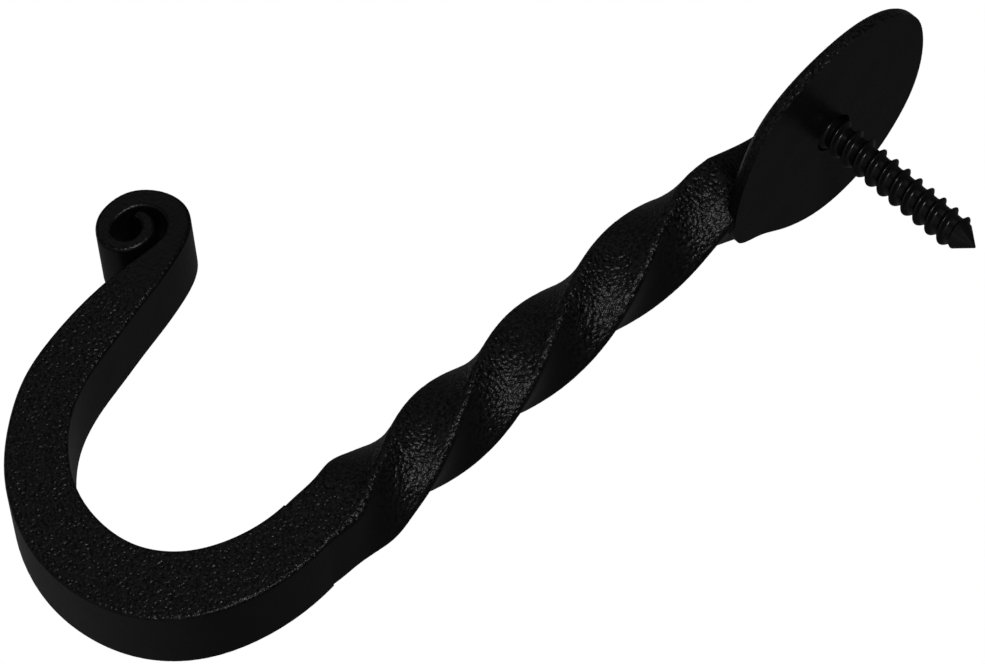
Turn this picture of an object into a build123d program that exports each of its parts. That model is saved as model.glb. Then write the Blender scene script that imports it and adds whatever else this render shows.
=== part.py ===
from build123d import *
import math
import os

# Forged iron towel hook with the wood screw that fixes it to a wall.
# Millimetres. The wall is the plane Y = 0, the room lies on the -Y side and +Z is up.
# The origin is on the back of the round plate, on the screw's axis.

os.makedirs("parts", exist_ok=True)

# Stem, a square bar twisted through one turn
bar = 8.0  # side of the square bar
bar_round = 0.9  # corner radius of the bar
wall_gap = 0.1  # the stem's back is this far in front of the plate's back
stem_x = -3.5  # the stem stands this far to the side of the screw
twist_head = -12.6  # height where the twist ends, at the plate's shoulder
twist_length = 62.7
twist_ease = 3.0  # length over which the twist starts
turn_total = 360.0
slackening = 0.15  # the twist is this share tighter at its foot than in the middle, and looser at its head
stations = 18  # cross-sections along the twist
wide_run = 10.0  # length over which the width of the bend dies away into the bar

# Bend and scroll, forged wider and flatter than the stem
bend_wide = 10.0  # across X
bend_deep = 7.3  # in the plane of the bend
edge_round = 0.45
foot_round = 0.65  # corner radius at the foot of the stem
plain_length = 3.7  # untwisted bar between the bend and the twist
join_lap = 1.0  # the stem's foot runs this far into the bend
join_step = 0.06  # and is this much smaller all round there

# Round plate, and the shoulder that joins the bar to it
plate_thick = 2.0
plate_rim = 0.9  # upright part of the rim, the rest is rounded off towards the front
shoulder_length = 7.0
shoulder_wide = 21.0  # width where the shoulder has run into the plate
shoulder_spread = 0.9  # lower values widen the shoulder sooner
shoulder_fall = 1.6  # higher values thin the shoulder sooner

# Wood screw
screw_major = 4.6
screw_root = 3.4
screw_pitch = 1.9
screw_out = 22.6  # length behind the plate
screw_point = 6.0  # length of the tapered point
ridge_sharp = 3.0  # higher values make the thread's ridge narrower
tip_radius = 0.1
hole_clearance = 0.3  # all round the screw in the plate's hole
head_dia = 8.6
head_high = 2.4
head_edge = 0.5  # upright edge of the head
head_lap = 0.7  # the shank runs this far into the head
slot_wide = 1.2
slot_deep = 1.1

# Sizes that follow
twist_foot = twist_head - twist_length
twist_full = twist_foot + twist_ease
full_length = twist_length - twist_ease
hole_radius = screw_major / 2 + hole_clearance
bend_top = twist_foot - plain_length
thread_length = screw_out + plate_thick + head_lap

# Outlines of the bend, measured from the stem's centre line and from the top of the bend.
# Side that faces the towel, up to the roll and round its outside to the tip
towel_side = [
    (-bend_deep / 2, 0.0), (-3.8, -3.2), (-4.8, -7.2), (-7.3, -11.7), (-11.5, -14.9), (-17.2, -15.8),
    (-21.9, -14.8), (-26.1, -12.3), (-29.7, -8.4), (-32.0, -3.4), (-33.3, 1.7), (-34.4, 6.2),
    (-35.3, 10.2), (-36.3, 13.8), (-37.4, 16.6), (-38.8, 18.5), (-40.6, 19.5), (-43.2, 19.4),
    (-45.4, 18.2), (-47.0, 16.2), (-47.5, 13.8), (-47.1, 11.6), (-45.8, 9.9), (-43.9, 9.1),
    (-42.1, 9.6), (-40.9, 10.9), (-40.4, 12.7), (-40.7, 14.4), (-41.6, 15.4), (-42.8, 15.8),
    (-44.1, 15.4),
]
# Under side, up to the roll and round its inside to the tip
under_side = [
    (bend_deep / 2, 0.0), (3.7, -5.0), (2.4, -11.6), (-0.4, -17.2), (-5.0, -21.5), (-11.1, -23.9),
    (-17.7, -24.2), (-24.2, -22.4), (-30.0, -18.7), (-34.3, -13.9), (-37.3, -8.7), (-38.9, -3.1),
    (-39.7, 2.3), (-39.9, 7.0), (-39.7, 11.0), (-39.6, 13.8), (-40.0, 15.5), (-41.2, 16.6),
    (-42.6, 16.8), (-44.0, 16.2), (-44.9, 14.9), (-45.2, 13.3), (-44.9, 11.8), (-43.8, 10.9),
    (-42.6, 11.2), (-41.9, 12.2), (-42.1, 13.5), (-42.9, 14.3), (-44.0, 14.3),
]
# Outline of the plate in X and Z, from the neck up the right side and down the left
plate_outline = [
    (-0.4, -16.0), (3.2, -15.0), (7.2, -13.2), (10.5, -11.0), (12.8, -8.2), (14.3, -4.8),
    (15.1, -1.1), (15.3, 2.9), (14.6, 7.1), (12.4, 11.1), (8.8, 13.9), (3.9, 14.9),
    (-1.4, 14.4), (-5.7, 12.8), (-9.3, 10.1), (-12.1, 6.6), (-13.7, 2.2), (-13.8, -2.0),
    (-12.6, -5.8), (-10.5, -9.2), (-8.0, -12.6), (-6.4, -15.4),
]


def turn_at(z):
    """Turn of the section at a height, in degrees: a gentle start, then the full rate easing off."""
    start = (1 + slackening) * twist_ease / (2 * full_length)
    start_turn = turn_total * start / (1 + start)
    if z <= twist_foot:
        return 0.0
    if z < twist_full:
        return start_turn * ((z - twist_foot) / twist_ease) ** 2
    t = (z - twist_full) / full_length
    return start_turn + (turn_total - start_turn) * ((1 + slackening) * t - slackening * t * t)


def stem_y(turn):
    """Centre line of the stem, so that its ridges, and its flat back at the head, just clear the wall."""
    left = math.radians(min(45.0, turn_total - turn))
    reach = (bar / 2 - bar_round) * (math.cos(left) + math.sin(left)) + bar_round
    return -reach - wall_gap


def on_bend(points):
    """Points of the bend's outline in the hook's own Y and Z."""
    return [(stem_y(0.0) + y, bend_top + z) for y, z in points]


def blend(z, low, high, at_low, at_high):
    """A size that goes smoothly from one value to another between two heights."""
    t = min(1.0, max(0.0, (z - low) / (high - low)))
    t = t * t * (3 - 2 * t)
    return at_low + (at_high - at_low) * t


def level(x, y, z):
    """Plane across the hook at a height, with its middle at this place."""
    return Plane(origin=(x, y, z), x_dir=(1, 0, 0), z_dir=(0, 0, 1))


with BuildPart() as bend:
    with BuildSketch(Plane.YZ.offset(stem_x)):
        with BuildLine():
            under = Spline(*on_bend(under_side))
            over = Spline(*on_bend(towel_side))
            Line(under @ 0, over @ 0)
            Line(under @ 1, over @ 1)
        make_face()
    extrude(amount=bend_wide / 2, both=True)
    sides = bend.faces().filter_by(Axis.X)
    fillet(sides.edges().filter_by(lambda e: e.length > 2 * bend_wide), radius=edge_round)

with BuildPart() as stem:
    heights = [bend_top - join_lap, bend_top, twist_foot, twist_foot + twist_ease / 2]
    for i in range(stations + 1):
        heights.append(twist_full + full_length * i / stations)
    for z in heights:
        turn = turn_at(z)
        step = blend(z, bend_top, twist_foot, 2 * join_step, 0.0)
        wide = blend(z, twist_foot, twist_foot + wide_run, bend_wide, bar) - step
        deep = blend(z, bend_top, twist_foot + 2 * twist_ease, bend_deep, bar) - step
        corner = blend(z, bend_top, twist_full, foot_round, bar_round)
        with BuildSketch(level(stem_x, stem_y(turn), z).rotated((0, 0, -turn))):
            RectangleRounded(wide, deep, corner)
    loft()

with BuildPart() as shoulder:
    # The bar drawn out flat and wider, until it lies inside the plate
    thin = plate_thick - 2 * wall_gap
    for along in (0.0, 0.2, 0.45, 0.75, 1.0):
        z = twist_head + shoulder_length * along
        wide = bar + (shoulder_wide - bar) * along**shoulder_spread
        deep = thin + (bar - thin) * (1 - along) ** shoulder_fall
        with BuildSketch(level(stem_x * (1 - along), -wall_gap - deep / 2, z)):
            RectangleRounded(wide, deep, min(bar_round, 0.3 * deep))
    loft()

with BuildPart() as plate:
    with BuildSketch(Plane.XZ):
        with BuildLine():
            Spline(*plate_outline, periodic=True)
        make_face()
    extrude(amount=plate_thick)
    fillet(plate.faces().sort_by(Axis.Y)[0].edges(), radius=plate_thick - plate_rim)

with BuildPart() as hook:
    add(bend.part)
    add(stem.part)
    add(shoulder.part)
    add(plate.part)
    # Hole for the screw
    with BuildSketch(Plane.XZ):
        Circle(hole_radius)
    extrude(amount=plate_thick, mode=Mode.SUBTRACT)
hook.part.label = "hook"

# Cross-section of the threaded part: a round core with one smooth ridge
ridge_section = []
for angle in range(-180, 180, 15):
    lift = (0.5 + 0.5 * math.cos(math.radians(angle))) ** ridge_sharp
    radius = screw_root / 2 + (screw_major - screw_root) / 2 * lift
    ridge_section.append((radius * math.cos(math.radians(angle)), radius * math.sin(math.radians(angle))))

with BuildSketch() as thread_section:
    with BuildLine():
        Spline(*ridge_section, periodic=True)
    make_face()

# The section carried along the axis as it turns gives the thread its helix
threaded = Rot(-90, 0, 0) * Pos(0, 0, -plate_thick - head_lap) * Solid.extrude_linear_with_rotation(
    thread_section.sketch.faces()[0],
    center=(0, 0, 0),
    normal=(0, 0, thread_length),
    angle=360 * thread_length / screw_pitch,
)

with BuildPart() as wood_screw:
    add(threaded)
    # Point
    with BuildSketch(Plane.XY):
        with BuildLine():
            Polyline(
                (0, -plate_thick - head_high),
                (screw_major, -plate_thick - head_high),
                (screw_major, screw_out - screw_point),
                (tip_radius, screw_out),
                (0, screw_out),
                (0, -plate_thick - head_high),
            )
        make_face()
    revolve(axis=Axis.Y, mode=Mode.INTERSECT)
    # Domed head on the front of the plate
    seat = -plate_thick
    crown = seat - head_high
    with BuildSketch(Plane.XY):
        with BuildLine():
            Line((0, seat), (head_dia / 2, seat))
            Line((head_dia / 2, seat), (head_dia / 2, seat - head_edge))
            TangentArc((0, crown), (head_dia / 2, seat - head_edge), tangent=(1, 0))
            Line((0, crown), (0, seat))
        make_face()
    revolve(axis=Axis.Y)
    # Driving slot
    with BuildSketch(Plane.XZ.offset(-crown)):
        Rectangle(head_dia + 1, slot_wide)
    extrude(amount=-slot_deep, mode=Mode.SUBTRACT)
wood_screw.part.label = "wood_screw"

export_step(hook.part, "parts/hook.step")
export_step(wood_screw.part, "parts/wood_screw.step")
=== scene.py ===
"""Black painted forged towel hook with its wood screw, in a plain studio.

Metres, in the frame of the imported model: the wall is the plane Y = 0, the room lies on the -Y side
and +Z is up.
"""

import bpy
import numpy as np
from mathutils import Matrix, Vector

MM = 0.001

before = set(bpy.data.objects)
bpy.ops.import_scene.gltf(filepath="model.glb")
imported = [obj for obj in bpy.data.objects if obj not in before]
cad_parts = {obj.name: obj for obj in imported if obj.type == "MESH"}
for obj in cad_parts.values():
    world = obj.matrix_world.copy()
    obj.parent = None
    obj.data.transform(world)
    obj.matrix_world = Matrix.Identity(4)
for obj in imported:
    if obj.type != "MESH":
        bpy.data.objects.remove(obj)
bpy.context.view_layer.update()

# Camera
IMAGE_WIDE = 985  # pixels
CAMERA_AT = (0.685477, 0.317071, -0.315587)
CAMERA_RIGHT = (-0.050420, 0.696786, 0.715505)
CAMERA_DOWN = (-0.522664, 0.592071, -0.613413)
FOCAL_PIXELS = 7068.64
SENSOR_WIDE = 36.0  # mm
CLIP_NEAR = 0.01
CLIP_FAR = 50.0

# Colour and sheen of the hook's paint
HOLLOW_SHADE_BLACK = (0.0004, 0.0004, 0.0004, 1.0)  # painted shade in the hollows between the specks
SPECK_HIGHLIGHT_BLACK = (0.0042, 0.0042, 0.0042, 1.0)  # painted highlight on the crests of the specks
EVEN_TONE = 0.5  # share of the second black where there is no grain
PAINT_SPECULAR = 0.105
PAINT_ROUGH = 0.23
PAINT_ROUGHER = 0.16  # added to it on top of the specks

# Grain of the paint: specks on small pebbles, over slow swells
PEBBLE_WIDE = 0.5 * MM
PEBBLE_HIGH = 0.7  # against the specks
PEBBLE_SOFT = 0.6  # how far each one runs into the next
SPECKS_PER_PEBBLE = 1.3
SPECK_HOLLOW = 0.34  # the noise below which the colour is the hollows'
SPECK_TOP = 0.66  # and above which it is the specks'
SWELLS_PER_METRE = 180.0
SWELL_HIGH = 0.5  # against the specks
GRAIN_HIGH = 0.185 * MM

# Where the grain and the painted highlight and shade of the specks are strong: on faces that look
# along X, and less so on the scroll
SIDE_STARTS = 0.2  # the normal's part along X
SIDE_FULL = 0.8
FLAT_SHARE = 0.08  # what is left of the grain and of its painted highlight and shade on the other faces
SCROLL_UP = (-75 * MM, -66 * MM)  # heights between which the scroll's paint sets in
SCROLL_OUT = (-36 * MM, -31 * MM)  # and between which, in Y, it ends towards the wall
SCROLL_CALM = 0.7  # share of the grain that it lacks
SCROLL_DARK = 0.5  # share of the second black that it lacks

# Coating of the screw
SCREW_BLACK = (0.0021, 0.0021, 0.0021, 1.0)
SCREW_SPECULAR = 0.14
SCREW_ROUGH = 0.16
SCREW_ROUGHER = 0.15  # added to it where it is most worn
WEAR_PER_METRE = 900.0

# Studio
LAMPS_AIM = (0.0, -0.02, -0.045)  # middle of the hook
FLOOR_LEVEL = -0.5
FLOOR_RADIUS = 3.0
FLOOR_CORNERS = 96
FLOOR_PALE = (0.82, 0.82, 0.82, 1.0)
WHITE = (1.0, 1.0, 1.0, 1.0)
SOFT_LIGHT = 0.08  # strength of the even light from all round


class Wire:
    """A shader socket that takes part in arithmetic: each operator adds one Math node."""

    def __init__(self, finish, socket):
        self.finish = finish
        self.socket = socket

    def _math(self, operation, *values):
        sockets = dict(zip(("Value", "Value_001"), values))
        return self.finish.add("ShaderNodeMath", 0, {"operation": operation}, **sockets)

    def __add__(self, other):
        return self._math("ADD", self, other)

    __radd__ = __add__

    def __sub__(self, other):
        return self._math("SUBTRACT", self, other)

    def __rsub__(self, other):
        return self._math("SUBTRACT", other, self)

    def __mul__(self, other):
        return self._math("MULTIPLY", self, other)

    __rmul__ = __mul__

    def __abs__(self):
        return self._math("ABSOLUTE", self)

    def between(self, low, high):
        """0 below the low value, 1 above the high one and smooth in between."""
        return self.finish.add(
            "ShaderNodeMapRange",
            "Result",
            {"interpolation_type": "SMOOTHSTEP"},
            Value=self,
            From_Min=low,
            From_Max=high,
        )


class Finish:
    """The emptied nodes of a material or a world, with one method that adds any node."""

    def __init__(self, owner):
        self.owner = owner
        owner.use_nodes = True
        self.tree = owner.node_tree
        self.tree.nodes.clear()

    @staticmethod
    def find(sockets, name):
        """A socket by its number, by its identifier or by its plain name."""
        if isinstance(name, int):
            return sockets[name]
        for socket in sockets:
            if socket.identifier == name:
                return socket
        return sockets[name.replace("_", " ")]

    def add(self, kind, output=0, settings=None, **inputs):
        """Adds a node, sets it, fills or links its sockets, and returns one of its outputs."""
        node = self.tree.nodes.new(kind)
        for name, value in (settings or {}).items():
            setattr(node, name, value)
        for name, value in inputs.items():
            place = self.find(node.inputs, name)
            if isinstance(value, Wire):
                self.tree.links.new(value.socket, place)
            else:
                place.default_value = value
        if not node.outputs:
            return None
        return Wire(self, self.find(node.outputs, output))

    def surface(self, shader, end="ShaderNodeOutputMaterial"):
        """Makes this shader the one that shows, and returns the material or world."""
        self.add(end, Surface=shader)
        return self.owner


def pebbled_paint():
    """Satin black paint, grainiest on the sides of the bar, with a painted highlight on each speck
    and painted shade in the hollows between them, and calmer and darker on the scroll.
    """
    paint = Finish(bpy.data.materials.new("pebbled_paint"))
    place = paint.add("ShaderNodeTexCoord", "Object")
    facing = paint.add("ShaderNodeTexCoord", "Normal")
    along_x = paint.add("ShaderNodeSeparateXYZ", "X", Vector=facing)
    depth_in = paint.add("ShaderNodeSeparateXYZ", "Y", Vector=place)
    height_up = paint.add("ShaderNodeSeparateXYZ", "Z", Vector=place)
    # Faces that look along X get the strongest grain, and with it the painted highlight and shade of
    # the specks
    side = abs(along_x).between(SIDE_STARTS, SIDE_FULL)
    scroll = height_up.between(*SCROLL_UP) * (1.0 - depth_in.between(*SCROLL_OUT))
    grain_and_speck_light = (FLAT_SHARE + (1.0 - FLAT_SHARE) * side) * (1.0 - SCROLL_CALM * scroll)

    pebbles = paint.add(
        "ShaderNodeTexVoronoi",
        "Distance",
        {"feature": "SMOOTH_F1"},
        Vector=place,
        Scale=1.0 / PEBBLE_WIDE,
        Smoothness=PEBBLE_SOFT,
        Randomness=1.0,
    )
    specks = paint.add(
        "ShaderNodeTexNoise",
        Vector=place,
        Scale=SPECKS_PER_PEBBLE / PEBBLE_WIDE,
        Detail=1.0,
    )
    swells = paint.add("ShaderNodeTexNoise", Vector=place, Scale=SWELLS_PER_METRE, Detail=1.0)
    height = (specks - PEBBLE_HIGH * pebbles) * grain_and_speck_light + SWELL_HIGH * swells
    bump = paint.add("ShaderNodeBump", Strength=1.0, Distance=GRAIN_HIGH, Height=height)

    # Painted highlight on the crests of the specks and painted shade in their hollows, in the base
    # colour
    painted_speck_light = EVEN_TONE + (specks.between(SPECK_HOLLOW, SPECK_TOP) - EVEN_TONE) * grain_and_speck_light
    black_and_speck_light = paint.add(
        "ShaderNodeMix",
        "Result_Color",
        {"data_type": "RGBA"},
        Factor_Float=painted_speck_light * (1.0 - SCROLL_DARK * scroll),
        A_Color=HOLLOW_SHADE_BLACK,
        B_Color=SPECK_HIGHLIGHT_BLACK,
    )
    shader = paint.add(
        "ShaderNodeBsdfPrincipled",
        Base_Color=black_and_speck_light,
        Roughness=PAINT_ROUGH + PAINT_ROUGHER * specks,
        Specular_IOR_Level=PAINT_SPECULAR,
        Normal=bump,
    )
    return paint.surface(shader)


def smooth_black():
    """Thin smooth black coating of the screw, a little uneven in its sheen."""
    coating = Finish(bpy.data.materials.new("smooth_black"))
    place = coating.add("ShaderNodeTexCoord", "Object")
    wear = coating.add("ShaderNodeTexNoise", Vector=place, Scale=WEAR_PER_METRE, Detail=3.0)
    shader = coating.add(
        "ShaderNodeBsdfPrincipled",
        Base_Color=SCREW_BLACK,
        Roughness=SCREW_ROUGH + SCREW_ROUGHER * wear,
        Specular_IOR_Level=SCREW_SPECULAR,
    )
    return coating.surface(shader)


def paint_node(name, material):
    """Gives a solid of the frame its material in place of the plain one."""
    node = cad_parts[name]
    node.data.materials.clear()
    node.data.materials.append(material)


def camera():
    """The photograph's view: through a long lens, from the wall's side and from below."""
    data = bpy.data.cameras.new("camera")
    data.sensor_width = SENSOR_WIDE
    data.lens = FOCAL_PIXELS / IMAGE_WIDE * SENSOR_WIDE
    data.clip_start = CLIP_NEAR
    data.clip_end = CLIP_FAR
    made = bpy.data.objects.new("camera", data)
    right = Vector(CAMERA_RIGHT)
    up = -Vector(CAMERA_DOWN)
    turn = Matrix((right, up, right.cross(up))).transposed()
    made.matrix_world = Matrix.Translation(CAMERA_AT) @ turn.to_4x4()
    bpy.context.scene.collection.objects.link(made)
    bpy.context.scene.camera = made


def lamp(name, toward, away, wide, power):
    """A square soft lamp that shines at the hook's middle, from this direction and distance."""
    data = bpy.data.lights.new(name, "AREA")
    data.size = wide
    data.energy = power
    made = bpy.data.objects.new(name, data)
    back = Vector(toward).normalized()
    made.location = Vector(LAMPS_AIM) + back * away
    made.rotation_mode = "QUATERNION"
    made.rotation_quaternion = (-back).to_track_quat("-Z", "Y")
    bpy.context.scene.collection.objects.link(made)


def floor():
    """A flat pale disc well below the hook, its corners at even turns round a circle."""
    turns = np.linspace(0.0, 2.0 * np.pi, FLOOR_CORNERS, endpoint=False)
    across = FLOOR_RADIUS * np.cos(turns)
    along = FLOOR_RADIUS * np.sin(turns)
    rim = np.c_[across, along, np.full(FLOOR_CORNERS, FLOOR_LEVEL)]
    mesh = bpy.data.meshes.new("floor")
    mesh.from_pydata(rim.tolist(), [], [list(range(FLOOR_CORNERS))])
    made = bpy.data.objects.new("floor", mesh)
    bpy.context.scene.collection.objects.link(made)
    pale = Finish(bpy.data.materials.new("pale_floor"))
    made.data.materials.append(pale.surface(pale.add("ShaderNodeBsdfDiffuse", Color=FLOOR_PALE)))


def backdrop():
    """White where the camera sees past everything, and a faint even light for all other rays."""
    studio = Finish(bpy.data.worlds.new("studio"))
    seen = studio.add("ShaderNodeLightPath", "Is Camera Ray")
    soft = studio.add("ShaderNodeBackground", Color=WHITE, Strength=SOFT_LIGHT)
    white = studio.add("ShaderNodeBackground", Color=WHITE, Strength=1.0)
    mix = studio.add("ShaderNodeMixShader", Fac=seen, Shader=soft, Shader_001=white)
    bpy.context.scene.world = studio.surface(mix, "ShaderNodeOutputWorld")


paint_node("hook", pebbled_paint())
paint_node("wood_screw", smooth_black())
camera()
floor()
backdrop()
lamp("key", toward=(0.874, 0.486, 0.003), away=1.2, wide=0.35, power=13.0)
lamp("above", toward=(0.726, -0.575, 0.377), away=1.5, wide=1.0, power=1.5)
lamp("rim", toward=(-0.534, -0.814, -0.230), away=1.5, wide=1.0, power=1.3)

bpy.context.scene.view_settings.view_transform = "Standard"
